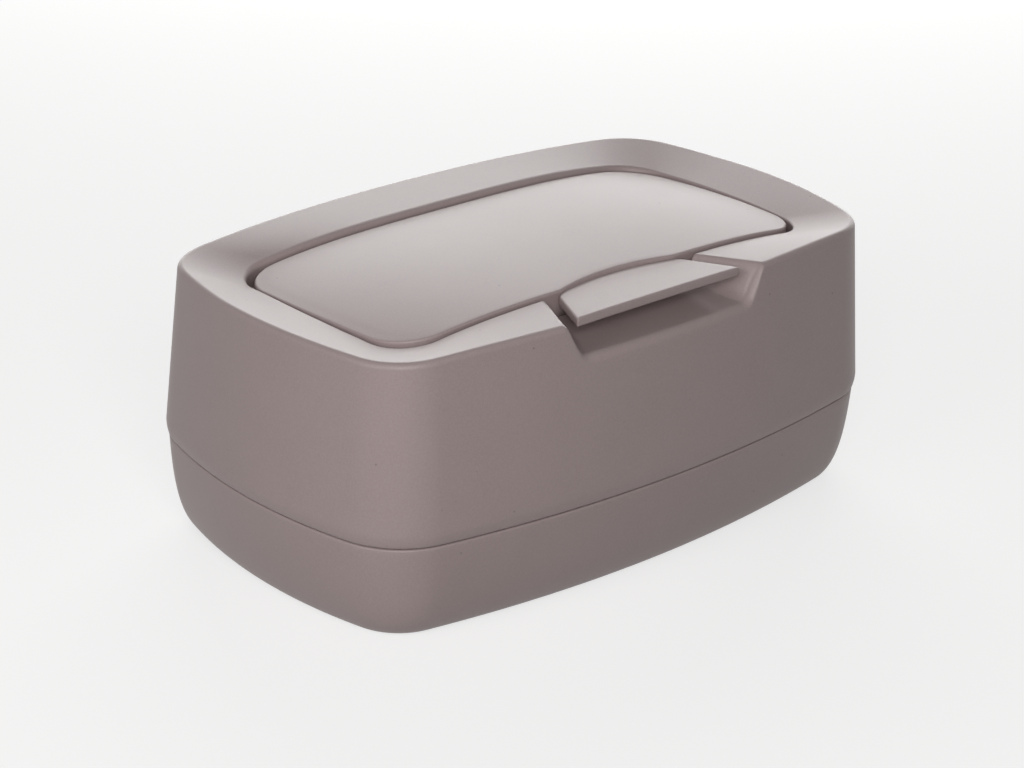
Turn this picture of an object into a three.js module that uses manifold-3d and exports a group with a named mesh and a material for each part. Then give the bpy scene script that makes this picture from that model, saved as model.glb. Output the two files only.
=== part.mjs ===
// Wipes box: a bottom tray, a cover that lifts off it, and a flap lid over the dispensing mouth.
// Millimetres, +Z up, the long side along X, the opening tongue towards -Y.
// The origin is at the middle of the flat underside.
import * as THREE from 'three';
import { mergeVertices } from 'three/addons/utils/BufferGeometryUtils.js';
import Module from 'manifold-3d';

const wasm = await Module();
wasm.setup();

// Driving dimensions of the outer form
const bodyLength = 220;
const bodyWidth = 139.5;
const longSideRadius = 447;
const endRadius = 167;
const bodyCornerRadius = 26.6;
const widestHeight = 37;
const seamHeight = 32.6;
const seamInset = 0.8;
const crestHeight = 92.3;
const crestInset = 4.1;
const crestRadius = 1.9;
const crestCrownLength = 3.3;
const crestCrownWidth = 3.5;
const crownPower = 3.4;
const topFall = 1.45;
const crownSpanX = 100;
const crownSpanY = 70;

// Driving dimensions of the tray
const trayDraft = 0.05;
const footInset = 16.5;
const footRise = 2.9;
const footRoundness = 4.5;
const trayWall = 1.8;
const trayFloor = 2.2;
const spigotHeight = 7.5;
const spigotWall = 1.5;

// Driving dimensions of the cover, its lid recess and its dispensing mouth
const coverWall = 1.9;
const recessLength = 171.8;
const recessWidth = 83.2;
const recessCentreY = -1.1;
const recessSideRadius = 3450;
const recessEndRadius = 339;
const recessCornerRadius = 14;
const recessDip = 1.7;
const recessCrownLength = 9;
const recessCrownWidth = 4.3;
const recessFloorHeight = 78.4;
const recessEdgeRadius = 0.8;
const recessBackEdgeRadius = 2.6;
const mouthLength = 104;
const mouthWidth = 44;
const mouthSideRadius = 260;
const mouthEndRadius = 60;
const mouthCornerRadius = 15;
const collarHeight = 3;
const collarWall = 1.8;

// Driving dimensions of the finger scoop
const scoopInnerHalfWidth = 32.3;
const scoopOuterHalfWidth = 42;
const scoopSideLean = 0.62;
const scoopSillHeight = 83;
const scoopLipHeight = 80;
const scoopCornerRadius = 5;
const scoopWall = 1.9;

// Driving dimensions of the lid, its tongue and its hinge
const lidWall = 1.6;
const lidEdgeRadius = 1;
const lidSkirtHeight = 81.2;
const lidFrontProud = 0.3;
const lidBackSink = 1.9;
const tongueRearHalfWidth = 24.5;
const tongueFrontHalfWidth = 33.5;
const tongueReach = 19.4;
const tongueThickness = 3;
const tongueStep = 0.6;
const tongueLift = 0.9;
const tongueBevel = 0.5;
const hingeCentreX = 32;
const hingeDrop = 3;
const hingeInset = 2.8;
const hingeBarRadius = 1.1;
const hingeEyeWidth = 6;
const hingeEyeWall = 1.1;
const hingePostWidth = 2.4;
const sealWidth = 3;
const sealHeight = 3.4;
const sealRibWall = 1.2;
const sealRibDepth = 1.8;

// Named clearances
const seamGap = 0.35;
const spigotClearance = 0.3;
const lidFrontGap = 1.8;
const lidEndGap = 2.7;
const lidBackGap = 1.6;
const hingeClearance = 0.25;
const sealClearance = 0.3;
const weld = 0.6;

// Segments along each quarter of an outline: end arc, corner arc, side arc
const endSteps = 3;
const cornerSteps = 6;
const sideSteps = 5;

// Outlines: four shallow arcs joined by four tangent corner arcs
const bodyOutline = {
  halfLength: bodyLength / 2,
  halfWidth: bodyWidth / 2,
  sideRadius: longSideRadius,
  endRadius,
  cornerRadius: bodyCornerRadius,
  centreY: 0,
};
const recessOutline = {
  halfLength: recessLength / 2,
  halfWidth: recessWidth / 2,
  sideRadius: recessSideRadius,
  endRadius: recessEndRadius,
  cornerRadius: recessCornerRadius,
  centreY: recessCentreY,
};
const lidOutline = {
  halfLength: recessLength / 2 - lidEndGap,
  halfWidth: (recessWidth - lidFrontGap - lidBackGap) / 2,
  sideRadius: recessSideRadius - lidFrontGap,
  endRadius: recessEndRadius - lidEndGap,
  cornerRadius: recessCornerRadius - lidFrontGap,
  centreY: recessCentreY + (lidFrontGap - lidBackGap) / 2,
};
const mouthOutline = {
  halfLength: mouthLength / 2,
  halfWidth: mouthWidth / 2,
  sideRadius: mouthSideRadius,
  endRadius: mouthEndRadius,
  cornerRadius: mouthCornerRadius,
  centreY: 0,
};

// Points and outward normals once round an outline, counter-clockwise seen from above
function outlineStations(shape) {
  const { halfLength, halfWidth, sideRadius, endRadius: tipRadius, cornerRadius, centreY } = shape;
  const sideCentre = new THREE.Vector2(0, halfWidth - sideRadius);
  const tipCentre = new THREE.Vector2(halfLength - tipRadius, 0);
  const span = sideCentre.distanceTo(tipCentre);
  const along = tipCentre.clone().sub(sideCentre).divideScalar(span);
  const across = new THREE.Vector2(along.y, -along.x);
  const sideReach = sideRadius - cornerRadius;
  const tipReach = tipRadius - cornerRadius;
  const step = (sideReach ** 2 - tipReach ** 2 + span ** 2) / (2 * span);
  const rise = Math.sqrt(sideReach ** 2 - step ** 2);
  const cornerCentre = sideCentre.clone().addScaledVector(along, step).addScaledVector(across, rise);
  const sideAngle = cornerCentre.clone().sub(sideCentre).angle();
  const tipAngle = cornerCentre.clone().sub(tipCentre).angle();
  const arcs = [
    { centre: tipCentre, radius: tipRadius, from: 0, to: tipAngle, steps: endSteps },
    { centre: cornerCentre, radius: cornerRadius, from: tipAngle, to: sideAngle, steps: cornerSteps },
    { centre: sideCentre, radius: sideRadius, from: sideAngle, to: Math.PI / 2, steps: sideSteps },
  ];
  const quarter = [];
  for (const arc of arcs) {
    for (let i = 0; i < arc.steps; i += 1) {
      const angle = THREE.MathUtils.lerp(arc.from, arc.to, i / arc.steps);
      const normal = new THREE.Vector2(Math.cos(angle), Math.sin(angle));
      quarter.push({ point: arc.centre.clone().addScaledVector(normal, arc.radius), normal });
    }
  }
  const top = { point: new THREE.Vector2(0, halfWidth), normal: new THREE.Vector2(0, 1) };
  const turned = (station, signX, signY) => ({
    point: new THREE.Vector2(station.point.x * signX, station.point.y * signY),
    normal: new THREE.Vector2(station.normal.x * signX, station.normal.y * signY),
  });
  const half = [...quarter, top, ...quarter.slice(1).reverse().map((station) => turned(station, -1, 1))];
  const whole = [...half, ...half.map((station) => turned(station, -1, -1))];
  return whole.map(({ point, normal }) => ({
    point: new THREE.Vector2(point.x, point.y + centreY),
    normal,
  }));
}

const amount = (value, x, y) => (typeof value === 'function' ? value(x, y) : value);

// One ring of a shell: an outline moved in by an inset, at a height that may vary along it
function ring(shape, inset, height) {
  return outlineStations(shape).map(({ point, normal }) => {
    const moved = point.clone().addScaledVector(normal, -amount(inset, point.x, point.y));
    return new THREE.Vector3(moved.x, moved.y, amount(height, moved.x, moved.y));
  });
}

const between = (first, second, share) => first.map((point, i) => point.clone().lerp(second[i], share));

// A closed skin over successive rings, ended by a fan at each given centre or joined to itself
function loft(rings, firstCentre, lastCentre) {
  const count = rings[0].length;
  const corners = rings.flat();
  const index = [];
  const joins = firstCentre ? rings.length - 1 : rings.length;
  for (let level = 0; level < joins; level += 1) {
    const low = level * count;
    const high = ((level + 1) % rings.length) * count;
    for (let i = 0; i < count; i += 1) {
      const next = (i + 1) % count;
      index.push(low + i, low + next, high + next, low + i, high + next, high + i);
    }
  }
  if (firstCentre) {
    const first = corners.push(firstCentre) - 1;
    const last = corners.push(lastCentre) - 1;
    const end = (rings.length - 1) * count;
    for (let i = 0; i < count; i += 1) {
      const next = (i + 1) % count;
      index.push(first, next, i, last, end + i, end + next);
    }
  }
  const geometry = new THREE.BufferGeometry().setFromPoints(corners);
  geometry.setIndex(index);
  return geometry;
}

function toSolid(geometry) {
  const bare = geometry.clone();
  bare.deleteAttribute('normal');
  bare.deleteAttribute('uv');
  const merged = mergeVertices(bare, 1e-4);
  return new wasm.Manifold(new wasm.Mesh({
    numProp: 3,
    vertProperties: new Float32Array(merged.attributes.position.array),
    triVerts: new Uint32Array(merged.index.array),
  }));
}

function toGeometry(solid) {
  const mesh = solid.getMesh();
  const geometry = new THREE.BufferGeometry();
  geometry.setAttribute('position', new THREE.BufferAttribute(mesh.vertProperties.slice(), 3));
  geometry.setIndex(new THREE.BufferAttribute(mesh.triVerts.slice(), 1));
  return geometry;
}

// A block between two corners
function block(low, high) {
  const size = high.clone().sub(low);
  const centre = low.clone().add(high).multiplyScalar(0.5);
  return toSolid(new THREE.BoxGeometry(size.x, size.y, size.z).translate(centre.x, centre.y, centre.z));
}

// A round bar along X
function barAlongX(radius, fromX, toX, y, z) {
  const bar = new THREE.CylinderGeometry(radius, radius, toX - fromX, 20);
  bar.rotateZ(Math.PI / 2).translate((fromX + toX) / 2, y, z);
  return toSolid(bar);
}

// Heights of the crowned top: the outer crest and the dished line of the lid recess
const slope = (y) => -topFall * (y / crownSpanY);
const lengthwise = (x) => Math.abs(x / crownSpanX) ** crownPower;
const crestTop = (x, y) =>
  crestHeight - crestCrownLength * lengthwise(x) - crestCrownWidth * (y / crownSpanY) ** 2 + slope(y);
const recessTop = (x, y) =>
  crestHeight - recessDip - recessCrownLength * lengthwise(x)
  - recessCrownWidth * (y / crownSpanY) ** 2 + slope(y);
const lidStand = (y) => THREE.MathUtils.mapLinear(
  y,
  recessCentreY - recessWidth / 2,
  recessCentreY + recessWidth / 2,
  lidFrontProud,
  -lidBackSink,
);
const lidTop = (x, y) => recessTop(x, y) + lidStand(y);

const quarterTurn = Math.PI / 2;
const shares = (steps) => Array.from({ length: steps + 1 }, (_, i) => i / steps);

// The tray's side: a small draft, then a soft corner down to the flat foot
function trayInset(z) {
  const drop = (widestHeight - z) / widestHeight;
  const corner = 1 - Math.max(1 - drop ** footRise, 0) ** (1 / footRoundness);
  return seamInset + trayDraft * (seamHeight - z) + footInset * corner;
}

function makeTray() {
  const foot = trayInset(0);
  const levels = [0, 0.35, 1.2, 2.8, 5, 8, 12, 18, 25, seamHeight - 0.5];
  const outside = levels.map((z) => ring(bodyOutline, trayInset(z), z));
  const spigotFace = seamInset + coverWall + spigotClearance;
  const spigotTop = seamHeight + spigotHeight;
  const rim = [
    ring(bodyOutline, seamInset + 0.4, seamHeight),
    ring(bodyOutline, spigotFace, seamHeight),
    ring(bodyOutline, spigotFace, spigotTop - 0.5),
    ring(bodyOutline, spigotFace + 0.5, spigotTop),
    ring(bodyOutline, spigotFace + spigotWall, spigotTop),
  ];
  const insideLevels = [seamHeight, 25, 18, 12, 8, 5.5, 3.6, 2.6];
  const inside = insideLevels.map((z) => {
    const level = Math.max(z - trayFloor, 0.1);
    const inset = Math.max(spigotFace + spigotWall, trayInset(level) + trayWall);
    return ring(bodyOutline, inset, Math.max(z, trayFloor));
  });
  const floor = ring(bodyOutline, foot + trayWall, trayFloor);
  return loft(
    [...outside, ...rim, ...inside, floor],
    new THREE.Vector3(0, 0, 0),
    new THREE.Vector3(0, 0, trayFloor),
  );
}

// Insets of the cover's outer wall between the seam, the widest line and the crest
function coverInset(z, top) {
  if (z < widestHeight) {
    const share = (widestHeight - z) / (widestHeight - seamHeight);
    return seamInset * share ** 2;
  }
  return crestInset * ((z - widestHeight) / (top - widestHeight));
}

function coverWallRing(share, depth = 0) {
  const foot = seamHeight + seamGap;
  const top = (x, y) => crestTop(x, y) - crestRadius;
  const height = (x, y) => THREE.MathUtils.lerp(foot, top(x, y), share);
  const inset = (x, y) => coverInset(height(x, y), top(x, y)) + depth;
  return ring(bodyOutline, inset, height);
}

const crestRing = (angle) => ring(
  bodyOutline,
  crestInset + crestRadius * (1 - Math.cos(angle)),
  (x, y) => crestTop(x, y) - crestRadius * (1 - Math.sin(angle)),
);

// The recess edge is crisp at the front and rolls over softly at the back, behind the hinge
const edgeRadius = (x, y) => THREE.MathUtils.lerp(
  recessEdgeRadius,
  recessBackEdgeRadius,
  THREE.MathUtils.smoothstep(y, recessCentreY + recessWidth / 4, recessCentreY + recessWidth / 2),
);
const recessEdgeRing = (angle) => outlineStations(recessOutline).map(({ point, normal }) => {
  const radius = edgeRadius(point.x, point.y);
  const out = radius * (1 - Math.cos(angle));
  const moved = point.clone().addScaledVector(normal, out);
  return new THREE.Vector3(moved.x, moved.y, recessTop(point.x, point.y) - radius * (1 - Math.sin(angle)));
});

function makeCoverShell() {
  const foot = seamHeight + seamGap;
  const lowShares = [0.45 / (crestHeight - foot), 0.03, 0.06, 0.1, 0.13];
  const wall = [...lowShares, 0.35, 0.57, 0.8, 1].map((share) => coverWallRing(share));
  const crest = shares(4).slice(1).map((share) => crestRing(share * quarterTurn));
  const edge = shares(3).map((share) => recessEdgeRing((1 - share) * quarterTurn));
  const band = [0.33, 0.67].map((share) => between(crest[crest.length - 1], edge[0], share));
  const collarFace = -collarWall;
  const collarTop = recessFloorHeight + collarHeight;
  const under = recessFloorHeight - coverWall;
  const innerTop = (x, y) => crestTop(x, y) - coverWall;
  const innerWallRing = (share) => {
    const height = (x, y) => THREE.MathUtils.lerp(foot, innerTop(x, y), share);
    const inset = (x, y) => coverWall + coverInset(height(x, y), crestTop(x, y) - crestRadius);
    return ring(bodyOutline, inset, height);
  };
  return loft([
    ring(bodyOutline, seamInset + 0.35, foot),
    ...wall,
    ...crest,
    ...band,
    ...edge,
    ring(recessOutline, 0, recessFloorHeight),
    ring(mouthOutline, collarFace, recessFloorHeight),
    ring(mouthOutline, collarFace, collarTop - 0.4),
    ring(mouthOutline, collarFace + 0.4, collarTop),
    ring(mouthOutline, -0.4, collarTop),
    ring(mouthOutline, 0, collarTop - 0.4),
    ring(mouthOutline, 0, under),
    ring(recessOutline, -coverWall, under),
    ring(recessOutline, -coverWall, (x, y) => recessTop(x, y) - coverWall - recessEdgeRadius),
    innerWallRing(1),
    innerWallRing(0.6),
    innerWallRing(0.12),
    ring(bodyOutline, seamInset + coverWall, foot),
  ]);
}

// A full body up to the middle of the cover's wall, which bounds the walls of the scoop
function makeCoverEnvelope() {
  const depth = coverWall / 2;
  const levels = [0.2, 0.35, 0.57, 0.8, 1].map((share) => coverWallRing(share, depth));
  const top = ring(
    bodyOutline,
    crestInset + crestRadius + depth,
    (x, y) => crestTop(x, y) - depth,
  );
  const edge = recessEdgeRing(quarterTurn).map((point) => new THREE.Vector3(point.x, point.y, point.z - depth));
  return loft(
    [...levels, top, edge],
    new THREE.Vector3(0, 0, levels[0][0].z),
    new THREE.Vector3(0, 0, edge[0].z),
  );
}

// The scoop: a U-shaped hollow that flares outwards and slopes down to the front wall
function makeScoop(grow, rearY) {
  const innerY = recessCentreY - recessWidth / 2;
  const outerY = -bodyWidth / 2 + crestInset + crestRadius;
  const openHeight = crestHeight + 6;
  const stations = [rearY, -49, -55, -61, -66, -76];
  const sections = stations.map((y) => {
    const share = (y - innerY) / (outerY - innerY);
    const topHalf = THREE.MathUtils.lerp(scoopInnerHalfWidth, scoopOuterHalfWidth, share);
    const floorShare = THREE.MathUtils.smoothstep(share, 0, 1.05);
    const floorHeight = THREE.MathUtils.lerp(scoopSillHeight, scoopLipHeight, floorShare) - grow;
    const lean = Math.atan(scoopSideLean);
    const radius = scoopCornerRadius + grow;
    const sideAt = (z) => topHalf + grow / Math.cos(lean) - scoopSideLean * (crestHeight - z);
    const arcCentreZ = floorHeight + radius;
    const arcCentreX = sideAt(arcCentreZ + radius * Math.sin(lean)) - radius * Math.cos(lean);
    const half = [new THREE.Vector2(sideAt(openHeight), openHeight)];
    for (const turn of shares(6)) {
      const angle = THREE.MathUtils.lerp(lean, -quarterTurn, turn);
      half.push(new THREE.Vector2(
        arcCentreX + radius * Math.cos(angle),
        arcCentreZ + radius * Math.sin(angle),
      ));
    }
    const mirrored = half.slice().reverse().map((point) => new THREE.Vector2(-point.x, point.y));
    return [...half, ...mirrored].reverse().map((point) => new THREE.Vector3(point.x, y, point.y));
  });
  const middle = (section) => section
    .reduce((sum, point) => sum.add(point), new THREE.Vector3())
    .divideScalar(section.length);
  return loft(sections, middle(sections[0]), middle(sections[sections.length - 1]));
}

const hingeAxis = {
  y: lidOutline.centreY + lidOutline.halfWidth - hingeInset,
  z: lidTop(hingeCentreX, lidOutline.halfWidth) - hingeDrop,
};
const hingeSides = [-1, 1];

// Two posts and a bar stand on the recess floor at each hinge
function addHingePosts(cover) {
  let result = cover;
  const postInner = hingeEyeWidth / 2 + hingeClearance;
  const postOuter = postInner + hingePostWidth;
  for (const side of hingeSides) {
    for (const end of hingeSides) {
      const centre = side * hingeCentreX + end * (postInner + postOuter) / 2;
      const low = new THREE.Vector3(
        centre - hingePostWidth / 2,
        hingeAxis.y - 2 * hingeBarRadius,
        recessFloorHeight - weld,
      );
      const high = new THREE.Vector3(centre + hingePostWidth / 2, hingeAxis.y + 0.2, hingeAxis.z);
      result = result.add(block(low, high));
    }
    result = result.add(barAlongX(
      hingeBarRadius,
      side * hingeCentreX - postOuter,
      side * hingeCentreX + postOuter,
      hingeAxis.y,
      hingeAxis.z,
    ));
  }
  return result;
}

function makeCover() {
  const shell = toSolid(makeCoverShell());
  const recessFront = recessCentreY - recessWidth / 2;
  const pocket = toSolid(makeScoop(scoopWall, recessFront - coverWall / 2)).intersect(toSolid(makeCoverEnvelope()));
  const hollow = toSolid(makeScoop(0, recessFront + lidFrontGap));
  return toGeometry(addHingePosts(shell.add(pocket).subtract(hollow)));
}

function makeLidPlate() {
  const insets = [34, 26, 18, 10, 4];
  const underside = (x, y) => lidTop(x, y) - lidWall;
  const centre = new THREE.Vector3(0, lidOutline.centreY, lidTop(0, lidOutline.centreY));
  const edge = shares(3).map((share) => ring(
    lidOutline,
    lidEdgeRadius * (1 - Math.cos(share * quarterTurn)),
    (x, y) => lidTop(x, y) - lidEdgeRadius * (1 - Math.sin(share * quarterTurn)),
  ));
  const shrunk = (share, height) => {
    const outer = ring(lidOutline, lidWall, height);
    return outer.map((point) => {
      const x = point.x * share;
      const y = lidOutline.centreY + (point.y - lidOutline.centreY) * share;
      return new THREE.Vector3(x, y, height(x, y));
    });
  };
  const spread = insets.map((inset) => 1 - inset / (recessWidth / 2));
  return loft(
    [
      ...spread.map((share) => shrunk(share, underside)),
      ring(lidOutline, lidWall, underside),
      ring(lidOutline, lidWall, lidSkirtHeight),
      ring(lidOutline, 0, lidSkirtHeight),
      ...edge,
      ...spread.slice().reverse().map((share) => shrunk(share, lidTop)),
    ],
    centre.clone().setZ(centre.z - lidWall),
    centre,
  );
}

// The lifting tongue: a flat plate one step below the lid, wider at its front and lifted a little
function makeTongue() {
  const rearY = lidOutline.centreY - lidOutline.halfWidth + lidWall / 2;
  const edgeY = lidOutline.centreY - lidOutline.halfWidth;
  const frontY = edgeY - tongueReach;
  const rearTop = lidTop(0, edgeY) - tongueStep;
  const section = (y, bevel) => {
    const share = (y - edgeY) / (frontY - edgeY);
    const half = THREE.MathUtils.lerp(tongueRearHalfWidth, tongueFrontHalfWidth, share) - bevel;
    const top = rearTop + tongueLift * share - bevel;
    const bottom = rearTop + tongueLift * share - tongueThickness + bevel;
    const cut = tongueBevel;
    const crown = (x) => -recessCrownLength * lengthwise(x);
    const right = [
      new THREE.Vector2(half - cut, bottom),
      new THREE.Vector2(half, bottom + cut),
      new THREE.Vector2(half, top - cut),
      new THREE.Vector2(half - cut, top),
    ];
    const topRow = [0.6, 0.2].map((part) => new THREE.Vector2(half * part, top));
    const bottomRow = [0.2, 0.6].map((part) => new THREE.Vector2(half * part, bottom));
    const rightSide = [...bottomRow, ...right, ...topRow];
    const leftSide = rightSide.slice().reverse().map((point) => new THREE.Vector2(-point.x, point.y));
    return [...rightSide, ...leftSide].map((point) => new THREE.Vector3(point.x, y, point.y + crown(point.x)));
  };
  const sections = [
    section(rearY, 0),
    section(THREE.MathUtils.lerp(edgeY, frontY, 0.5), 0),
    section(frontY + tongueBevel, 0),
    section(frontY, tongueBevel),
  ];
  const middle = (points) => points
    .reduce((sum, point) => sum.add(point), new THREE.Vector3())
    .divideScalar(points.length);
  const plate = loft(sections, middle(sections[0]), middle(sections[3]));
  return plate;
}

const sealInner = (sealWidth - collarWall) / 2;
const sealTop = recessFloorHeight + collarHeight + sealClearance + sealHeight;

// A ring of constant width round the mouth
function mouthRing(inner, width, bottom, top) {
  return loft([
    ring(mouthOutline, inner - width, bottom),
    ring(mouthOutline, inner - width, top),
    ring(mouthOutline, inner, top),
    ring(mouthOutline, inner, bottom),
  ]);
}

function makeLid() {
  let lid = toSolid(makeLidPlate()).add(toSolid(makeTongue()));
  const ribInner = sealInner + sealClearance + sealRibWall;
  const ribWidth = sealWidth + 2 * (sealClearance + sealRibWall);
  const ribBottom = sealTop + sealClearance - sealRibDepth;
  const rib = mouthRing(ribInner, ribWidth, ribBottom, (x, y) => lidTop(x, y) - lidWall / 2);
  const groove = mouthRing(
    sealInner + sealClearance,
    sealWidth + 2 * sealClearance,
    ribBottom - 1,
    sealTop + sealClearance,
  );
  lid = lid.add(toSolid(rib)).subtract(toSolid(groove));
  const eyeRadius = hingeBarRadius + hingeClearance + hingeEyeWall;
  const reliefHalf = hingeEyeWidth / 2 + 2 * hingeClearance + hingePostWidth + 0.8;
  for (const side of hingeSides) {
    const middle = side * hingeCentreX;
    const relief = block(
      new THREE.Vector3(middle - reliefHalf, hingeAxis.y - 1, lidSkirtHeight - 1),
      new THREE.Vector3(middle + reliefHalf, hingeAxis.y + 6, hingeAxis.z + hingeDrop - lidWall - 0.6),
    );
    const eyeLow = middle - hingeEyeWidth / 2;
    const eyeHigh = middle + hingeEyeWidth / 2;
    const web = block(
      new THREE.Vector3(eyeLow, hingeAxis.y - eyeRadius, hingeAxis.z),
      new THREE.Vector3(eyeHigh, hingeAxis.y + eyeRadius, hingeAxis.z + hingeDrop - lidWall / 2 - 0.6),
    );
    const eye = barAlongX(eyeRadius, eyeLow, eyeHigh, hingeAxis.y, hingeAxis.z).add(web);
    const bore = barAlongX(hingeBarRadius + hingeClearance, eyeLow - 1, eyeHigh + 1, hingeAxis.y, hingeAxis.z);
    lid = lid.subtract(relief).add(eye).subtract(bore);
  }
  return toGeometry(lid);
}

const makeSeal = () => mouthRing(sealInner, sealWidth, sealTop - sealHeight, sealTop);

// Assembly
const tray = new THREE.MeshStandardMaterial({ color: '#a09593', roughness: 0.5, metalness: 0 });
const cover = new THREE.MeshStandardMaterial({ color: '#a89d9b', roughness: 0.5, metalness: 0 });
const flap = new THREE.MeshStandardMaterial({ color: '#b3a8a6', roughness: 0.48, metalness: 0 });
const soft = new THREE.MeshStandardMaterial({ color: '#d9d5d0', roughness: 0.7, metalness: 0 });

function named(name, geometry, material) {
  geometry.computeVertexNormals();
  const mesh = new THREE.Mesh(geometry, material);
  mesh.name = name;
  return mesh;
}

const box = new THREE.Group();
box.add(
  named('bottom_tray', makeTray(), tray),
  named('cover_shell', makeCover(), cover),
  named('flap_lid', makeLid(), flap),
  named('lid_seal', makeSeal(), soft),
);
export default box;
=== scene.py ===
import math

import bpy
import numpy as np
from mathutils import Matrix, Vector


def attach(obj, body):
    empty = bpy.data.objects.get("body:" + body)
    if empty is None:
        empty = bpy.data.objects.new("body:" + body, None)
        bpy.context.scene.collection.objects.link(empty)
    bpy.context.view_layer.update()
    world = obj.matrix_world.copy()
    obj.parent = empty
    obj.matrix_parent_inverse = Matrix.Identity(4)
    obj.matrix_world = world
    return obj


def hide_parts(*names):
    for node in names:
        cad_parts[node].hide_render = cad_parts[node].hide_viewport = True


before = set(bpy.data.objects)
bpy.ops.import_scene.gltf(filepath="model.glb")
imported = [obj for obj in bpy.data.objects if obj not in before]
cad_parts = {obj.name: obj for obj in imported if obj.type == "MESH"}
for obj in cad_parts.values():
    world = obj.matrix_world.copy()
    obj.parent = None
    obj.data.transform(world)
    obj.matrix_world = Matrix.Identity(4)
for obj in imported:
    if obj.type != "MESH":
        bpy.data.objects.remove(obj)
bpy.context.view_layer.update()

# A moulded wipes box: tray, lift-off cover and flap lid. Sizes are in millimetres, meshes in metres.
mm = 0.001
quarterTurn = math.pi / 2


def makeMesh(name, grid, closeRows=True, firstPole=None, lastPole=None, smooth=True):
    # grid[row, column] is a surface whose columns close round; its rows close too, or end in two poles
    rows, columns, _ = grid.shape
    vertices = grid.reshape(-1, 3)
    here = np.arange(rows * columns).reshape(rows, columns)
    east = np.roll(here, -1, axis=1)
    if closeRows:
        low, lowEast, high, highEast = here, east, np.roll(here, -1, axis=0), np.roll(east, -1, axis=0)
    else:
        low, lowEast, high, highEast = here[:-1], east[:-1], here[1:], east[1:]
    faces = np.stack([low, lowEast, highEast, high], axis=-1).reshape(-1, 4).tolist()
    if not closeRows:
        first, last = len(vertices), len(vertices) + 1
        vertices = np.vstack([vertices, firstPole, lastPole])
        faces += np.stack([np.full(columns, first), east[0], here[0]], axis=-1).tolist()
        faces += np.stack([np.full(columns, last), here[-1], east[-1]], axis=-1).tolist()
    mesh = bpy.data.meshes.new(name)
    mesh.from_pydata((vertices * mm).tolist(), [], faces)
    mesh.polygons.foreach_set("use_smooth", np.full(len(mesh.polygons), smooth))
    mesh.update()
    piece = bpy.data.objects.new(name, mesh)
    bpy.context.scene.collection.objects.link(piece)
    return piece


def mix(first, second, share):
    return first + (second - first) * share


def smoothStep(value, low, high):
    share = np.clip((value - low) / (high - low), 0, 1)
    return share * share * (3 - 2 * share)


def smoothMin(first, second, blend):
    # the lower of two heights, rounded off over the blend distance
    share = np.clip(0.5 + 0.5 * (second - first) / blend, 0, 1)
    return second + (first - second) * share - blend * share * (1 - share)


def evenly(count):
    return np.arange(count) / count


def arcPoint(centre, radius, angle):
    # a point on an arc, centre plus radius times direction, and its outward normal
    normal = np.stack([np.cos(angle), np.sin(angle)], axis=-1)
    return np.asarray(centre) + radius * normal, normal


def outlineStations(shape, steps):
    # Four shallow arcs joined by four tangent corner arcs, counter-clockwise from +X. The corner's centre
    # lies where circles about the side's and the end's centres cross. steps holds the fractions along
    # the end arc, the corner arc and the side arc, which may differ between the back and the front.
    sideCentre = np.array([0.0, shape["halfWidth"] - shape["sideArc"]])
    endCentre = np.array([shape["halfLength"] - shape["endArc"], 0.0])
    span = np.linalg.norm(endCentre - sideCentre)
    along = (endCentre - sideCentre) / span
    across = np.array([along[1], -along[0]])
    sideReach, endReach = shape["sideArc"] - shape["cornerArc"], shape["endArc"] - shape["cornerArc"]
    step = (sideReach ** 2 - endReach ** 2 + span ** 2) / (2 * span)
    cornerCentre = sideCentre + step * along + math.sqrt(sideReach ** 2 - step ** 2) * across
    sideAngle = math.atan2(*(cornerCentre - sideCentre)[::-1])
    endAngle = math.atan2(*(cornerCentre - endCentre)[::-1])
    quarters = {}
    for half in ("back", "front"):
        arcs = [
            arcPoint(endCentre, shape["endArc"], endAngle * steps["end"]),
            arcPoint(cornerCentre, shape["cornerArc"], mix(endAngle, sideAngle, steps["corner"])),
            arcPoint(sideCentre, shape["sideArc"], mix(sideAngle, quarterTurn, steps[half])),
        ]
        tip = (np.array([[0.0, shape["halfWidth"]]]), np.array([[0.0, 1.0]]))
        quarters[half] = [np.vstack(part) for part in zip(*arcs, tip)]
    points, normals = [], []
    turns = (("back", 1, 1, False), ("back", -1, 1, True), ("front", -1, -1, False), ("front", 1, -1, True))
    for half, signX, signY, flip in turns:
        for store, part in zip((points, normals), quarters[half]):
            turned = part * [signX, signY]
            store.append((turned[::-1] if flip else turned)[:-1])
    return np.vstack(points) + [0.0, shape["centreY"]], np.vstack(normals)


def ringAt(stations, inset, height):
    # the outline moved in by an inset, at a height; both may be arrays along it
    points, normals = stations
    moved = points - normals * np.broadcast_to(inset, len(points))[:, None]
    return np.column_stack([moved, np.broadcast_to(height, len(points))])


# Outer form, shared by the tray, the cover and the lid
form = {
    "length": 220.0, "width": 139.5, "sideArc": 447.0, "endArc": 167.0, "cornerArc": 26.6,
    "widestZ": 37.0, "seamZ": 32.6, "seamInset": 0.8, "seamGap": 0.35,
    "crestZ": 92.3, "crestInset": 4.1, "crestRound": 1.9, "crownAlong": 3.3, "crownAcross": 3.5,
    "backCrown": 1.8, "backCrownFrom": 15.0, "backCrownTo": 60.0,
    "crownPower": 3.4, "frontRise": 1.45, "crownSpanX": 100.0, "crownSpanY": 70.0,
}
recess = {
    "length": 171.8, "width": 83.2, "centreY": -1.1, "sideArc": 3450.0, "endArc": 339.0, "cornerArc": 14.0,
    "dip": 1.7, "crownAlong": 9.0, "crownAcross": 4.3, "floorZ": 78.4,
    "edgeRound": 0.8, "backEdgeRound": 2.0, "floorRound": 1.2,
}
mouth = {
    "length": 104.0, "width": 44.0, "sideArc": 260.0, "endArc": 60.0, "cornerArc": 15.0,
    "collarHeight": 3.0, "collarWall": 1.8, "round": 0.5,
}
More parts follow.
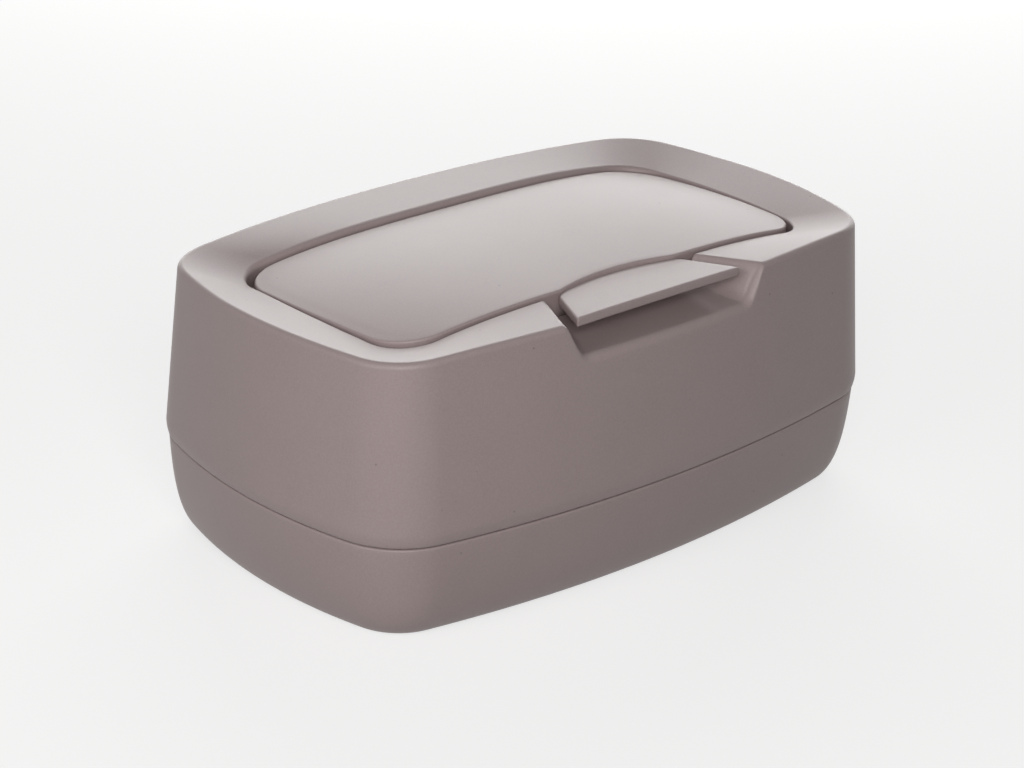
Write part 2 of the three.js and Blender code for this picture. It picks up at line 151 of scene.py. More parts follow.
lid = {
    "frontGap": 0.9, "endGap": 1.3, "backGap": 1.2, "cornerExtra": 2.0, "frontProud": 0.8, "backSink": 1.5,
    "wall": 1.6, "edgeRound": 0.8, "skirtZ": 81.2, "skirtBlunt": 0.4,
    "cutDepth": 3.6, "cutSpare": 1.0, "ledgeRise": 0.1,
}


def outlineOf(length, width, source, centreY=0.0, grow=0.0):
    return {
        "halfLength": length / 2, "halfWidth": width / 2, "sideArc": source["sideArc"] + grow,
        "endArc": source["endArc"] + grow, "cornerArc": source["cornerArc"] + grow, "centreY": centreY,
    }


bodyShape = outlineOf(form["length"], form["width"], form)
recessShape = outlineOf(recess["length"], recess["width"], recess, recess["centreY"])
mouthShape = outlineOf(mouth["length"], mouth["width"], mouth)
lidShape = outlineOf(
    recess["length"] - 2 * lid["endGap"], recess["width"] - lid["frontGap"] - lid["backGap"],
    recess, recess["centreY"] + (lid["frontGap"] - lid["backGap"]) / 2, lid["cornerExtra"],
)


def lengthwise(x):
    return np.abs(x / form["crownSpanX"]) ** form["crownPower"]


def crestTop(x, y):
    # the outer crest: crowned along and across, rising a little to the front, flatter at the back corners
    backShare = smoothStep(y, form["backCrownFrom"], form["backCrownTo"])
    along = mix(form["crownAlong"], form["backCrown"], backShare)
    crown = along * lengthwise(x) + form["crownAcross"] * (y / form["crownSpanY"]) ** 2
    return form["crestZ"] - crown - form["frontRise"] * y / form["crownSpanY"]


def recessTop(x, y):
    # the dished line round the lid recess
    crown = recess["crownAlong"] * lengthwise(x) + recess["crownAcross"] * (y / form["crownSpanY"]) ** 2
    return form["crestZ"] - recess["dip"] - crown - form["frontRise"] * y / form["crownSpanY"]


def lidTop(x, y):
    # the lid stands just proud of the recess edge at the front and lies below it at the back
    share = (y - recess["centreY"]) / recess["width"] + 0.5
    return recessTop(x, y) + mix(lid["frontProud"], -lid["backSink"], share)


def hexColour(code):
    # sRGB hex to linear, with alpha
    values = [int(code[i:i + 2], 16) / 255 for i in (1, 3, 5)]
    linear = [v / 12.92 if v <= 0.04045 else ((v + 0.055) / 1.055) ** 2.4 for v in values]
    return (*linear, 1.0)


def addNode(tree, kind, settings=None, values=None, links=None):
    # one node with its settings, its socket values and its incoming links
    node = tree.nodes.new(kind)
    for key, value in (settings or {}).items():
        setattr(node, key, value)
    for key, value in (values or {}).items():
        node.inputs[key].default_value = value
    for key, source in (links or {}).items():
        tree.links.new(source, node.inputs[key])
    return node


def newTree(owner):
    owner.use_nodes = True
    owner.node_tree.nodes.clear()
    return owner.node_tree


plasticLook = {
    "colour": "#a69594", "darkColour": "#a08f8e", "speckColour": "#7c6e6d", "paleColour": "#ad9d9c",
    "roughness": 0.44, "roughSpread": 0.06, "grain": 0.55, "mottle": 16.0, "grainDepth": 0.03,
    "speckSpacing": 11.0, "speckCore": 0.018, "speckEdge": 0.04,
}


def mouldedPolypropylene(name, look):
    # Injection-moulded polypropylene from a fine spark-eroded tool: satin and slightly waxy, so that its
    # highlights are broad and soft. The tool's grain is finer than it can show and is drawn at about
    # half a millimetre; the tint drifts a little over some 16 mm, and a few dark specks lie in it.
    material = bpy.data.materials.new(name)
    tree = newTree(material)
    place = addNode(tree, "ShaderNodeTexCoord").outputs["Object"]
    drift = addNode(
        tree, "ShaderNodeTexNoise",
        values={"Scale": 1 / (look["mottle"] * mm), "Detail": 3.0}, links={"Vector": place},
    )
    grain = addNode(
        tree, "ShaderNodeTexNoise",
        values={"Scale": 1 / (look["grain"] * mm), "Detail": 2.0, "Roughness": 0.6}, links={"Vector": place},
    )
    specks = addNode(
        tree, "ShaderNodeTexVoronoi",
        values={"Scale": 1 / (look["speckSpacing"] * mm)}, links={"Vector": place},
    )
    speckMask = addNode(
        tree, "ShaderNodeMapRange",
        values={"From Min": look["speckCore"], "From Max": look["speckEdge"], "To Min": 0.7, "To Max": 0.0},
        links={"Value": specks.outputs["Distance"]},
    )
    tint = addNode(
        tree, "ShaderNodeMix", settings={"data_type": "RGBA"},
        values={6: hexColour(look["colour"]), 7: hexColour(look["darkColour"])}, links={0: drift.outputs["Fac"]},
    )
    paleShare = addNode(
        tree, "ShaderNodeMapRange",
        values={"From Min": 0.35, "From Max": 0.75, "To Max": 0.7}, links={"Value": grain.outputs["Fac"]},
    )
    grained = addNode(
        tree, "ShaderNodeMix", settings={"data_type": "RGBA"}, values={7: hexColour(look["paleColour"])},
        links={0: paleShare.outputs["Result"], 6: tint.outputs[2]},
    )
    speckled = addNode(
        tree, "ShaderNodeMix", settings={"data_type": "RGBA"}, values={7: hexColour(look["speckColour"])},
        links={0: speckMask.outputs["Result"], 6: grained.outputs[2]},
    )
    satin = addNode(
        tree, "ShaderNodeMapRange",
        values={
            "To Min": look["roughness"] - look["roughSpread"], "To Max": look["roughness"] + look["roughSpread"],
        },
        links={"Value": grain.outputs["Fac"]},
    )
    bump = addNode(
        tree, "ShaderNodeBump", values={"Strength": 0.6, "Distance": look["grainDepth"] * mm},
        links={"Height": grain.outputs["Fac"]},
    )
    surface = addNode(
        tree, "ShaderNodeBsdfPrincipled", values={"IOR": 1.49},
        links={
            "Base Color": speckled.outputs[2], "Roughness": satin.outputs["Result"],
            "Normal": bump.outputs["Normal"],
        },
    )
    addNode(tree, "ShaderNodeOutputMaterial", links={"Surface": surface.outputs["BSDF"]})
    return material


sealLook = {"colour": "#d8d2cb", "roughness": 0.62, "roughSpread": 0.06, "grain": 0.4, "grainDepth": 0.01}


def softElastomer(name, look):
    # Moulded thermoplastic elastomer: dull, a little translucent at its edges, with a dusty skin
    material = bpy.data.materials.new(name)
    tree = newTree(material)
    place = addNode(tree, "ShaderNodeTexCoord").outputs["Object"]
    dust = addNode(
        tree, "ShaderNodeTexNoise",
        values={"Scale": 1 / (look["grain"] * mm), "Detail": 2.0}, links={"Vector": place},
    )
    dull = addNode(
        tree, "ShaderNodeMapRange",
        values={
            "To Min": look["roughness"] - look["roughSpread"], "To Max": look["roughness"] + look["roughSpread"],
        },
        links={"Value": dust.outputs["Fac"]},
    )
    bump = addNode(
        tree, "ShaderNodeBump", values={"Strength": 0.4, "Distance": look["grainDepth"] * mm},
        links={"Height": dust.outputs["Fac"]},
    )
    surface = addNode(
        tree, "ShaderNodeBsdfPrincipled",
        values={"Base Color": hexColour(look["colour"]), "IOR": 1.45, "Subsurface Weight": 0.15},
        links={"Roughness": dull.outputs["Result"], "Normal": bump.outputs["Normal"]},
    )
    addNode(tree, "ShaderNodeOutputMaterial", links={"Surface": surface.outputs["BSDF"]})
    return material


plastic = mouldedPolypropylene("mouldedPolypropylene", plasticLook)
elastomer = softElastomer("softElastomer", sealLook)
print("materials done")


def dress(piece, body, node, material):
    piece.data.materials.append(material)
    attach(piece, body)
    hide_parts(node)
    return piece


cover = {
    "wall": 1.9, "footRound": 0.7, "lipRound": 3.2, "lipFrom": 0.5, "lipTo": 6.0, "insideBlend": 1.0,
    "shelfDrop": 0.1,
}
scoop = {
    "innerHalf": 32.3, "outerHalf": 42.0, "outerY": -63.75, "lean": 0.62, "sillZ": 83.0, "lipZ": 80.0,
    "slopeRun": 1.05, "cornerRound": 5.0, "edgeRound": 1.5, "wall": 1.9, "reachIn": 12.0,
}
clearOfScoop = 200.0  # a height above everything, where there is no scoop


def hollowTop(x, y, grow=0.0):
    # The finger scoop as a height over x and y: a floor that slopes down outwards, a side plane that leans
    # outwards, and between them an arc tangent to both. grow thickens it to the scoop's outer skin.
    innerY = recess["centreY"] - recess["width"] / 2
    share = (y - innerY) / (scoop["outerY"] - innerY)
    topHalf = mix(scoop["innerHalf"], scoop["outerHalf"], share)
    floorZ = mix(scoop["sillZ"], scoop["lipZ"], smoothStep(share, 0, scoop["slopeRun"])) - grow
    angle = math.atan(scoop["lean"])
    radius = scoop["cornerRound"] + grow
    sideFoot = topHalf + grow / math.cos(angle) - scoop["lean"] * (form["crestZ"] - floorZ)
    centreX = sideFoot + scoop["lean"] * radius * (1 - math.sin(angle)) - radius * math.cos(angle)
    tangentX = centreX + radius * math.cos(angle)
    reach = np.abs(x)
    arc = floorZ + radius - np.sqrt(np.maximum(radius ** 2 - np.clip(reach - centreX, 0, None) ** 2, 0))
    side = floorZ + (reach - sideFoot) / scoop["lean"]
    height = np.where(reach < centreX, floorZ, np.where(reach < tangentX, arc, side))
    return np.where(y > innerY + scoop["reachIn"], clearOfScoop, height)


def coverInset(z, top):
    # how far the wall lies inside the widest outline: a curve down to the seam, and a straight lean
    # up to the crest
    widest = form["widestZ"]
    low = form["seamInset"] * np.clip((widest - z) / (widest - form["seamZ"]), 0, None) ** 2
    high = form["crestInset"] * np.clip((z - widest) / (top - widest), 0, None)
    return np.where(z < widest, low, high)


def makeCoverSurface():
    # One closed skin of rings: up the outer wall, over the crest, across the rim, down into the lid recess,
    # along its floor to the mouth, and back along the inside. Where the scoop lies lower than the crest or
    # the rim, the height is the smooth minimum of the two. Columns are dense across the scoop.
    dense = np.concatenate([0.4 * evenly(26), 0.4 + 0.6 * evenly(130)])
    steps = {"end": evenly(14), "corner": evenly(22), "back": evenly(40), "front": dense}
    outer = outlineStations(bodyShape, steps)
    inner = outlineStations(recessShape, steps)
    lip = outlineStations(mouthShape, steps)
    foot, footRound, crestRound = form["seamZ"] + form["seamGap"], cover["footRound"], form["crestRound"]
    crestX, crestY = ringAt(outer, form["crestInset"] + crestRound, 0)[:, :2].T
    nominal = crestTop(crestX, crestY)
    edgeZ = smoothMin(nominal, hollowTop(crestX, crestY), scoop["edgeRound"])
    lipShare = smoothStep(nominal - edgeZ, cover["lipFrom"], cover["lipTo"])
    fall = mix(crestRound, cover["lipRound"], lipShare)
    wallTop = edgeZ - fall

    def wallInset(z):
        return coverInset(z, nominal - crestRound)

    rows = []
    for angle in np.linspace(quarterTurn, 0, 6):
        z = foot + footRound * (1 - math.sin(angle))
        rows.append(ringAt(outer, wallInset(z) + footRound * (1 - math.cos(angle)), z))
    for z in np.linspace(foot + footRound, form["widestZ"], 7)[1:]:
        rows.append(ringAt(outer, wallInset(z), z))
    for share in np.linspace(0, 1, 27)[1:]:
        z = mix(form["widestZ"], wallTop, share)
        rows.append(ringAt(outer, wallInset(z), z))
    topInset = wallInset(wallTop)
    for angle in np.linspace(0, quarterTurn, 9)[1:]:
        rows.append(ringAt(outer, topInset + fall * (1 - math.cos(angle)), wallTop + fall * math.sin(angle)))
    edge = rows[-1]
    innerX, innerY = inner[0].T
    backShare = smoothStep(
        innerY, recess["centreY"] + recess["width"] / 4, recess["centreY"] + recess["width"] / 2,
    )
    radius = mix(recess["edgeRound"], recess["backEdgeRound"], backShare)
    rimInner = ringAt(inner, -radius, 0)[:, :2]
    for share in np.linspace(0, 1, 48)[1:]:
        spot = mix(edge[:, :2], rimInner, share)
        plain = mix(nominal, recessTop(innerX, innerY), share)
        z = smoothMin(plain, hollowTop(spot[:, 0], spot[:, 1]), scoop["edgeRound"])
        rows.append(np.column_stack([spot, z]))
    sillZ = rows[-1][:, 2]
    for angle in np.linspace(quarterTurn, 0, 8)[1:]:
        rows.append(ringAt(inner, -radius * (1 - math.cos(angle)), sillZ - radius * (1 - math.sin(angle))))
    floorZ, floorRound = recess["floorZ"], recess["floorRound"]
    for angle in np.linspace(0, quarterTurn, 6):
        level = floorZ + floorRound * (1 - math.sin(angle))
        rows.append(ringAt(inner, floorRound * (1 - math.cos(angle)), level))
    collarRound, collarTop, under = mouth["round"], floorZ + mouth["collarHeight"], floorZ - cover["wall"]
    floorEdge = rows[-1]
    collarFoot = ringAt(lip, -mouth["collarWall"] - collarRound, floorZ)
    rows += [mix(floorEdge, collarFoot, share) for share in (0.25, 0.5, 0.75, 1)]
    profile = [(-mouth["collarWall"], floorZ + collarRound)]
    for side, sign, angles in (
        (-mouth["collarWall"], 1, np.linspace(0, quarterTurn, 5)), (0, -1, np.linspace(quarterTurn, 0, 5)),
    ):
        for angle in angles:
            inset = side + sign * collarRound * (1 - math.cos(angle))
            profile.append((inset, collarTop - collarRound * (1 - math.sin(angle))))
    profile += [(0, mix(collarTop, under, 0.5)), (0, under + collarRound), (-collarRound, under)]
    rows += [ringAt(lip, inset, z) for inset, z in profile]
    ceiling = smoothMin(
        recessTop(innerX, innerY) - cover["wall"], hollowTop(innerX, innerY, scoop["wall"]), cover["insideBlend"],
    ) - recess["edgeRound"]
    shelf = np.minimum(under, ceiling - cover["shelfDrop"])
    underEdge = ringAt(inner, -cover["wall"], shelf)
    mouthEdge = rows[-1]
    rows += [mix(mouthEdge, underEdge, share) for share in (0.33, 0.67, 1)]
    rows += [ringAt(inner, -cover["wall"], mix(shelf, ceiling, share)) for share in (0.5, 1)]
    insideTop = ringAt(outer, topInset + cover["wall"], 0)
    for share in np.linspace(0, 1, 16)[1:]:
        spot = mix(ringAt(inner, -cover["wall"], 0)[:, :2], insideTop[:, :2], share)
        plain = mix(recessTop(innerX, innerY) - recess["edgeRound"], nominal, share) - cover["wall"]
        z = smoothMin(plain, hollowTop(spot[:, 0], spot[:, 1], scoop["wall"]), cover["insideBlend"])
        rows.append(np.column_stack([spot, z]))
    insideZ = rows[-1][:, 2]
    for share in (0.75, 0.5, 0.25, 0.12, 0.0):
        z = mix(foot, insideZ, share)
        rows.append(ringAt(outer, cover["wall"] + wallInset(z), z))
    return makeMesh("cover_surface", np.stack(rows))


coverPiece = dress(makeCoverSurface(), "cover", "cover_shell", plastic)
print("cover done", len(coverPiece.data.polygons))

tray = {
    "draft": 0.05, "footInset": 16.5, "footRise": 2.9, "footPower": 4.5, "wall": 1.8, "floor": 2.2,
    "spigotHeight": 7.5, "spigotWall": 1.5, "spigotGap": 0.3, "edgeRound": 0.7, "spigotRound": 0.5,
    "aboveFloor": 0.1,
}


def trayInset(z):
    # a small draft, then a soft corner down to the flat foot
    drop = (form["widestZ"] - z) / form["widestZ"]
    corner = 1 - max(1 - drop ** tray["footRise"], 0) ** (1 / tray["footPower"])
    return form["seamInset"] + tray["draft"] * (form["seamZ"] - z) + tray["footInset"] * corner


def makeTraySurface():
    # Rings of the outline from the middle of the underside, up the side, over the spigot and down inside
    steps = {"end": evenly(20), "corner": evenly(28), "back": evenly(48), "front": evenly(48)}
    outer = outlineStations(bodyShape, steps)
    underside = ringAt(outer, trayInset(0.0), 0)
    rows = [underside * [share, share, 1] for share in (0.25, 0.5, 0.75, 0.92)]
    top = form["seamZ"] - tray["edgeRound"]
    for z in top * (1 - np.cos(np.linspace(0, quarterTurn, 44))) ** 1.4:
        rows.append(ringAt(outer, trayInset(z), z))
    for angle in np.linspace(0, quarterTurn, 6)[1:]:
        inset = trayInset(top) + tray["edgeRound"] * (1 - math.cos(angle))
        rows.append(ringAt(outer, inset, top + tray["edgeRound"] * math.sin(angle)))
    face = form["seamInset"] + cover["wall"] + tray["spigotGap"]
    spigotTop, spigotRound = form["seamZ"] + tray["spigotHeight"], tray["spigotRound"]
    rows += [ringAt(outer, face, z) for z in (form["seamZ"], spigotTop - spigotRound)]
    for angle in np.linspace(0, quarterTurn, 5)[1:]:
        inset = face + spigotRound * (1 - math.cos(angle))
        rows.append(ringAt(outer, inset, spigotTop - spigotRound * (1 - math.sin(angle))))
    back = face + tray["spigotWall"]
    rows.append(ringAt(outer, back - spigotRound / 2, spigotTop))
    rows.append(ringAt(outer, back, spigotTop - spigotRound / 2))
    for z in np.linspace(form["seamZ"], tray["floor"] + tray["aboveFloor"], 20):
        inset = max(back, trayInset(z - tray["floor"]) + tray["wall"])
        rows.append(ringAt(outer, inset, z))
    innerFloor = ringAt(outer, trayInset(0.0) + tray["wall"], tray["floor"])
    rows += [innerFloor * [share, share, 1] for share in (1, 0.75, 0.5, 0.25)]
    return makeMesh("tray_surface", np.stack(rows), False, (0, 0, 0), (0, 0, tray["floor"]))


trayPiece = dress(makeTraySurface(), "tray", "bottom_tray", plastic)
print("tray done", len(trayPiece.data.polygons))

tongue = {
    "rearHalf": 24.5, "frontHalf": 33.5, "reach": 18.5, "thickness": 3.0, "step": 1.1, "lift": 0.9,
    "round": 0.7, "leastRound": 0.02, "rearCorner": 2.4, "rearRun": 4.4,
}


def makeLidSurface():
    # Crowned plate with a rounded edge and a short skirt. Over the tongue its upper edge is cut back in a
    # shallow curve, the cut's depth times one less the square of x over the cut's half-width.
    steps = {"end": evenly(20), "corner": evenly(24), "back": evenly(40), "front": evenly(70)}
    rim = outlineStations(lidShape, steps)
    centreY = lidShape["centreY"]
    x, y = rim[0].T
    cutHalf = tongue["rearHalf"] - tongue["rearCorner"] + lid["cutSpare"]
    cutBack = np.where(y < centreY, lid["cutDepth"] * np.clip(1 - (x / cutHalf) ** 2, 0, None), 0)

    def shrunk(share, inset, drop):
        ring = ringAt(rim, inset, 0)
        ringX, ringY = ring[:, 0] * share, centreY + (ring[:, 1] - centreY) * share
        return np.column_stack([ringX, ringY, lidTop(ringX, ringY) - drop])

    shares = np.linspace(0.06, 0.97, 26)
    rows = [shrunk(share, lid["wall"], lid["wall"]) for share in shares[::2]]
    rows.append(shrunk(1, lid["wall"], lid["wall"]))
    skirtZ, blunt, radius = lid["skirtZ"], lid["skirtBlunt"], lid["edgeRound"]
    rows += [ringAt(rim, lid["wall"], skirtZ + blunt), ringAt(rim, lid["wall"] - blunt, skirtZ)]
    rows += [ringAt(rim, blunt, skirtZ), ringAt(rim, 0, skirtZ + blunt)]
    ledge = lidTop(x, y) - tongue["step"] - radius
    rows += [ringAt(rim, 0, mix(skirtZ + blunt, ledge, share)) for share in (0.5, 1)]
    rows.append(ringAt(rim, cutBack, ledge + lid["ledgeRise"]))
    for angle in np.linspace(0, quarterTurn, 8):
        rows.append(ringAt(
            rim, cutBack + radius * (1 - math.cos(angle)), lidTop(x, y) - radius * (1 - math.sin(angle)),
        ))
    rows += [shrunk(share, cutBack + radius, 0) for share in shares[::-1]]
    top = float(lidTop(0, centreY))
    return makeMesh("lid_surface", np.stack(rows), False, (0, centreY, top - lid["wall"]), (0, centreY, top))


lidPiece = dress(makeLidSurface(), "lid", "flap_lid", plastic)
print("lid done", len(lidPiece.data.polygons))


def makeTongueSurface():
    # A rounded-rectangle section carried outwards from under the lid's edge: it widens, lifts a little, and
    # draws in by an arc at its rear corners and round its front edge.
    edgeY = lidShape["centreY"] - lidShape["halfWidth"]
    rearTop = float(lidTop(0, edgeY)) - tongue["step"]
    radius, reach, corner = tongue["round"], tongue["reach"], tongue["rearCorner"]
    turn = np.linspace(0, quarterTurn, 7)
    flat = np.linspace(-1, 1, 31)[1:-1]

    def section(out, pull):
        share = out / reach
        rear = min(max((corner - out) / corner, 0), 1)
        half = mix(tongue["rearHalf"], tongue["frontHalf"], max(share, 0)) - pull
        half -= corner * (1 - math.sqrt(1 - rear ** 2))
        top = rearTop + tongue["lift"] * share - pull
        bottom = rearTop + tongue["lift"] * share - tongue["thickness"] + pull
        small = max(radius - pull, tongue["leastRound"])
        corners = []
        for centreX, centreZ, start in (
            (half - small, bottom + small, -quarterTurn), (half - small, top - small, 0.0),
            (-half + small, top - small, quarterTurn), (-half + small, bottom + small, 2 * quarterTurn),
        ):
            cornerX = centreX + small * np.cos(start + turn)
            cornerZ = centreZ + small * np.sin(start + turn)
            corners.append(np.column_stack([cornerX, cornerZ]))
        topRun = np.column_stack([-flat * (half - small), np.full(len(flat), top)])
        bottomRun = np.column_stack([flat * (half - small), np.full(len(flat), bottom)])
        loop = np.vstack([bottomRun, corners[0], corners[1], topRun, corners[2], corners[3]])
        z = loop[:, 1] - recess["crownAlong"] * lengthwise(loop[:, 0])
        return np.column_stack([loop[:, 0], np.full(len(z), edgeY - out), z])

    outs = np.concatenate([
        np.linspace(-tongue["rearRun"], 0, 4, endpoint=False),
        corner * (1 - np.cos(np.linspace(0, quarterTurn, 9))), np.linspace(corner, reach - radius, 20)[1:],
    ])
    rows = [section(out, 0.0) for out in outs]
    for angle in turn[1:]:
        rows.append(section(reach - radius * (1 - math.sin(angle)), radius * (1 - math.cos(angle))))
    grid = np.stack(rows)
    return makeMesh("lid_tongue", grid, False, grid[0].mean(axis=0), grid[-1].mean(axis=0))


tonguePiece = dress(makeTongueSurface(), "lid", "flap_lid", plastic)
print("tongue done", len(tonguePiece.data.polygons))

seal = {
    "width": 3.0, "height": 3.4, "gap": 0.3, "round": 0.8,
    "ribWall": 1.2, "ribDepth": 1.8, "ribRound": 0.3,
}
sealTopZ = recess["floorZ"] + mouth["collarHeight"] + seal["gap"] + seal["height"]
sealInner = (seal["width"] - mouth["collarWall"]) / 2
mouthSteps = {"end": evenly(10), "corner": evenly(16), "back": evenly(24), "front": evenly(24)}


def roundedRing(name, inner, width, bottom, top, radius):
    # a rounded rectangle carried round the mouth's outline; top may be an array along it
    lip = outlineStations(mouthShape, mouthSteps)
    turn = np.linspace(0, quarterTurn, 5)
    rows = []
    for side, sign, level, lift, angles in (
        (inner - width, 1, bottom, 1, turn[::-1]), (inner - width, 1, top, -1, turn),
        (inner, -1, top, -1, turn[::-1]), (inner, -1, bottom, 1, turn),
    ):
        for angle in angles:
            inset = side + sign * radius * (1 - math.cos(angle))
            rows.append(ringAt(lip, inset, level + lift * radius * (1 - math.sin(angle))))
    return makeMesh(name, np.stack(rows))


sealPiece = roundedRing(
    "seal_ring", sealInner, seal["width"], sealTopZ - seal["height"], sealTopZ, seal["round"],
)
dress(sealPiece, "lid", "lid_seal", elastomer)
mouthX, mouthY = outlineStations(mouthShape, mouthSteps)[0].T
for ribName, ribInner in (
    ("rib_inner", sealInner + seal["gap"] + seal["ribWall"]),
    ("rib_outer", sealInner - seal["width"] - seal["gap"]),
):
    rib = roundedRing(
        ribName, ribInner, seal["ribWall"], sealTopZ + seal["gap"] - seal["ribDepth"],
        lidTop(mouthX, mouthY) - lid["wall"] / 2, seal["ribRound"],
    )
    dress(rib, "lid", "flap_lid", plastic)
print("seal done")

hinge = {
    "x": 32.0, "y": 36.1, "z": 83.3, "bar": 1.1, "gap": 0.25, "eyeWidth": 6.0, "eyeWall": 1.1,
    "post": 2.4, "postLip": 0.2, "weld": 0.6, "webGap": 0.1, "webInPlate": 0.6, "soften": 0.25,
}


def prism(name, profile, fromX, toX):
    # a flat outline in Y and Z carried along X, with its two ends drawn in a little
    outline = np.asarray(profile, dtype=float)
    centre = outline.mean(axis=0)
    size = np.abs(outline - centre).max()
    soften = hinge["soften"]
    rows = []
    for x, pull in (
        (fromX, soften), (fromX + soften * 0.3, soften * 0.3), (fromX + soften, 0),
        (toX - soften, 0), (toX - soften * 0.3, soften * 0.3), (toX, soften),
    ):
        drawn = centre + (outline - centre) * (1 - pull / size)
        rows.append(np.column_stack([np.full(len(drawn), x), drawn]))
    return makeMesh(name, np.stack(rows), False, (fromX, *centre), (toX, *centre), smooth=len(outline) > 4)


def circle(radius):
    angle = 2 * math.pi * evenly(32)
    return np.column_stack([hinge["y"] + radius * np.cos(angle), hinge["z"] + radius * np.sin(angle)])


def boxProfile(lowY, highY, lowZ, highZ):
    return [(lowY, lowZ), (highY, lowZ), (highY, highZ), (lowY, highZ)]


postNear = hinge["eyeWidth"] / 2 + hinge["gap"]
sleeveInner = hinge["bar"] + hinge["gap"]
sleeveOuter = sleeveInner + hinge["eyeWall"]
webTop = float(lidTop(hinge["x"], hinge["y"])) - lid["wall"] * hinge["webInPlate"]
for side, label in ((-1, "left"), (1, "right")):
    middle = side * hinge["x"]
    for end, mark in ((-1, "a"), (1, "b")):
        postX = middle + end * (postNear + hinge["post"] / 2)
        post = prism(
            "hinge_post_" + label + "_" + mark,
            boxProfile(
                hinge["y"] - 2 * hinge["bar"], hinge["y"] + hinge["postLip"],
                recess["floorZ"] - hinge["weld"], hinge["z"],
            ),
            postX - hinge["post"] / 2, postX + hinge["post"] / 2,
        )
        dress(post, "cover", "cover_shell", plastic)
    barReach = postNear + hinge["post"]
    bar = prism("hinge_bar_" + label, circle(hinge["bar"]), middle - barReach, middle + barReach)
    dress(bar, "cover", "cover_shell", plastic)
    # the eye is a sleeve round the bar, with a web up to the lid
    fromX, toX = middle - hinge["eyeWidth"] / 2, middle + hinge["eyeWidth"] / 2
    sleeve = [
        np.column_stack([np.full(32, x), circle(radius)])
        for x, radius in ((fromX, sleeveInner), (fromX, sleeveOuter), (toX, sleeveOuter), (toX, sleeveInner))
    ]
    eye = makeMesh("hinge_eye_" + label, np.stack(sleeve), smooth=False)
    dress(eye, "lid", "flap_lid", plastic)
    web = prism(
        "hinge_web_" + label,
        boxProfile(
            hinge["y"] - sleeveOuter, hinge["y"] + sleeveOuter,
            hinge["z"] + sleeveInner + hinge["webGap"], webTop,
        ),
        fromX, toX,
    )
    dress(web, "lid", "flap_lid", plastic)
print("hinge done")

studio = {
    "floorColour": "#a9a8a7", "floorGlow": 0.68, "floorReach": 3.0, "worldLevel": 0.06,
    "aim": (0.0, 0.0, 0.05),
    "lamps": (
        {"name": "backLow", "place": (0.70, 0.77, 0.15), "width": 1.4, "height": 0.2, "energy": 3.9},
        {"name": "backHigh", "place": (0.60, 0.66, 0.50), "width": 0.9, "height": 0.35, "energy": 3.6},
        {"name": "frontLeft", "place": (-0.5, -0.62, 0.45), "width": 0.4, "height": 0.4, "energy": 3.3},
        {"name": "left", "place": (-0.85, -0.15, 0.4), "width": 0.4, "height": 0.4, "energy": 1.7},
    ),
}


def backgroundRays(tree):
    # 1 for camera, glossy and transmission rays, which see the plain white surroundings
    rays = addNode(tree, "ShaderNodeLightPath")
    first = addNode(
        tree, "ShaderNodeMath", settings={"operation": "MAXIMUM"},
        links={0: rays.outputs["Is Camera Ray"], 1: rays.outputs["Is Glossy Ray"]},
    )
    return addNode(
        tree, "ShaderNodeMath", settings={"operation": "MAXIMUM"},
        links={0: first.outputs[0], 1: rays.outputs["Is Transmission Ray"]},
    ).outputs[0]


def makeFloor():
    reach = studio["floorReach"]
    corners = [(-reach, -reach, 0), (reach, -reach, 0), (reach, reach, 0), (-reach, reach, 0)]
    mesh = bpy.data.meshes.new("floor")
    mesh.from_pydata(corners, [], [(0, 1, 2, 3)])
    floor = bpy.data.objects.new("floor", mesh)
    bpy.context.scene.collection.objects.link(floor)
    material = bpy.data.materials.new("paleFloor")
    tree = newTree(material)
    paint = addNode(tree, "ShaderNodeBsdfDiffuse", values={"Color": hexColour(studio["floorColour"])})
    level = addNode(
        tree, "ShaderNodeMath", settings={"operation": "MULTIPLY"},
        values={1: studio["floorGlow"]}, links={0: backgroundRays(tree)},
    )
    glow = addNode(tree, "ShaderNodeEmission", links={"Strength": level.outputs[0]})
    both = addNode(tree, "ShaderNodeAddShader", links={0: paint.outputs[0], 1: glow.outputs[0]})
    addNode(tree, "ShaderNodeOutputMaterial", links={"Surface": both.outputs[0]})
    mesh.materials.append(material)


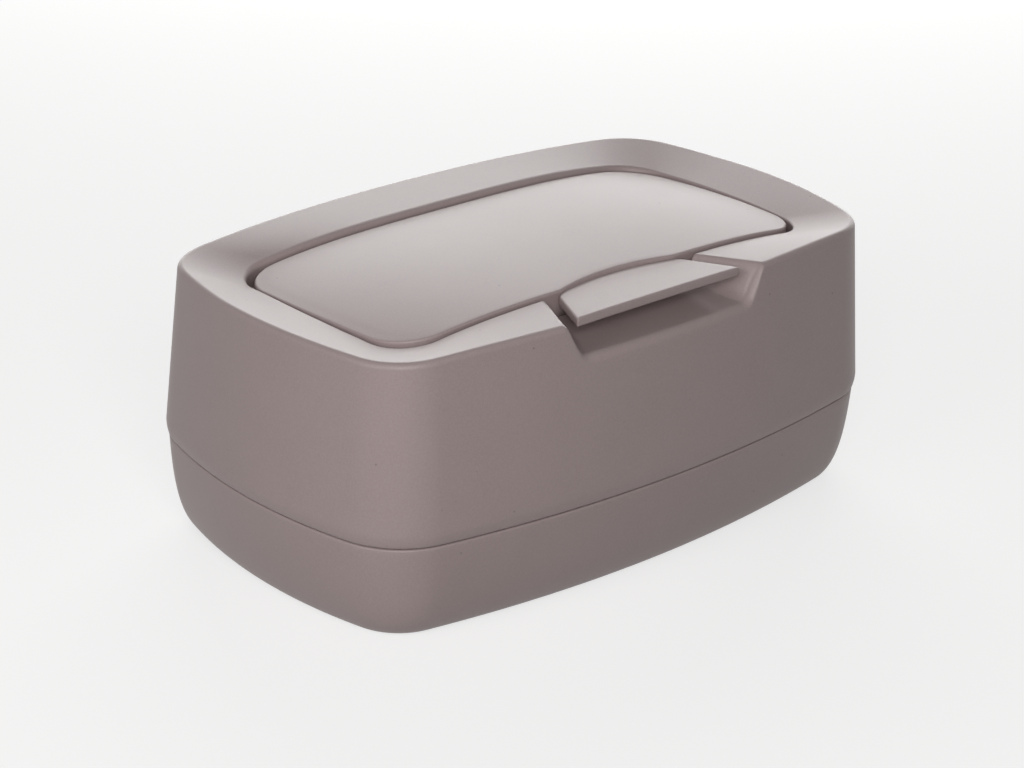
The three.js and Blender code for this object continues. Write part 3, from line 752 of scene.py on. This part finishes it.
def makeWorld():
    world = bpy.data.worlds.new("studio")
    bpy.context.scene.world = world
    tree = newTree(world)
    white = hexColour("#ffffff")
    ambient = addNode(tree, "ShaderNodeBackground", values={"Color": white, "Strength": studio["worldLevel"]})
    plain = addNode(tree, "ShaderNodeBackground", values={"Color": white, "Strength": 1.0})
    chosen = addNode(
        tree, "ShaderNodeMixShader", links={0: backgroundRays(tree), 1: ambient.outputs[0], 2: plain.outputs[0]},
    )
    addNode(tree, "ShaderNodeOutputWorld", links={"Surface": chosen.outputs[0]})


def addLamp(name, place, width, height, energy):
    # a soft rectangular lamp that looks at the box
    lamp = bpy.data.lights.new(name, "AREA")
    lamp.shape = "RECTANGLE"
    lamp.size, lamp.size_y, lamp.energy = width, height, energy
    holder = bpy.data.objects.new(name, lamp)
    bpy.context.scene.collection.objects.link(holder)
    holder.location = place
    holder.rotation_euler = (Vector(studio["aim"]) - Vector(place)).to_track_quat("-Z", "Y").to_euler()
    holder.visible_camera = False


view = {
    "azimuth": -42.17, "elevation": 24.0, "roll": 1.95, "distance": 912.7, "focalPixels": 2884.4,
    "target": (-3.53, 0.0, 40.07), "imageWidth": 1024, "sensor": 36.0,
}


def makeCamera():
    azimuth, elevation, roll = (math.radians(view[key]) for key in ("azimuth", "elevation", "roll"))
    back = Vector((
        math.sin(azimuth) * math.cos(elevation), -math.cos(azimuth) * math.cos(elevation), math.sin(elevation),
    ))
    right = Vector((math.cos(azimuth), math.sin(azimuth), 0))
    up = back.cross(right)
    turnedRight = right * math.cos(roll) + up * math.sin(roll)
    turnedUp = up * math.cos(roll) - right * math.sin(roll)
    lens = bpy.data.cameras.new("camera")
    lens.sensor_width = view["sensor"]
    lens.lens = view["focalPixels"] / view["imageWidth"] * view["sensor"]
    lens.clip_start, lens.clip_end = 0.01, 20
    camera = bpy.data.objects.new("camera", lens)
    bpy.context.scene.collection.objects.link(camera)
    place = (Vector(view["target"]) + back * view["distance"]) * mm
    axes = Matrix((turnedRight, turnedUp, back)).transposed().to_4x4()
    camera.matrix_world = Matrix.Translation(place) @ axes
    bpy.context.scene.camera = camera


makeFloor()
makeWorld()
for lampSettings in studio["lamps"]:
    addLamp(**lampSettings)
makeCamera()
bpy.context.scene.view_settings.view_transform = "Standard"
print("stage done")
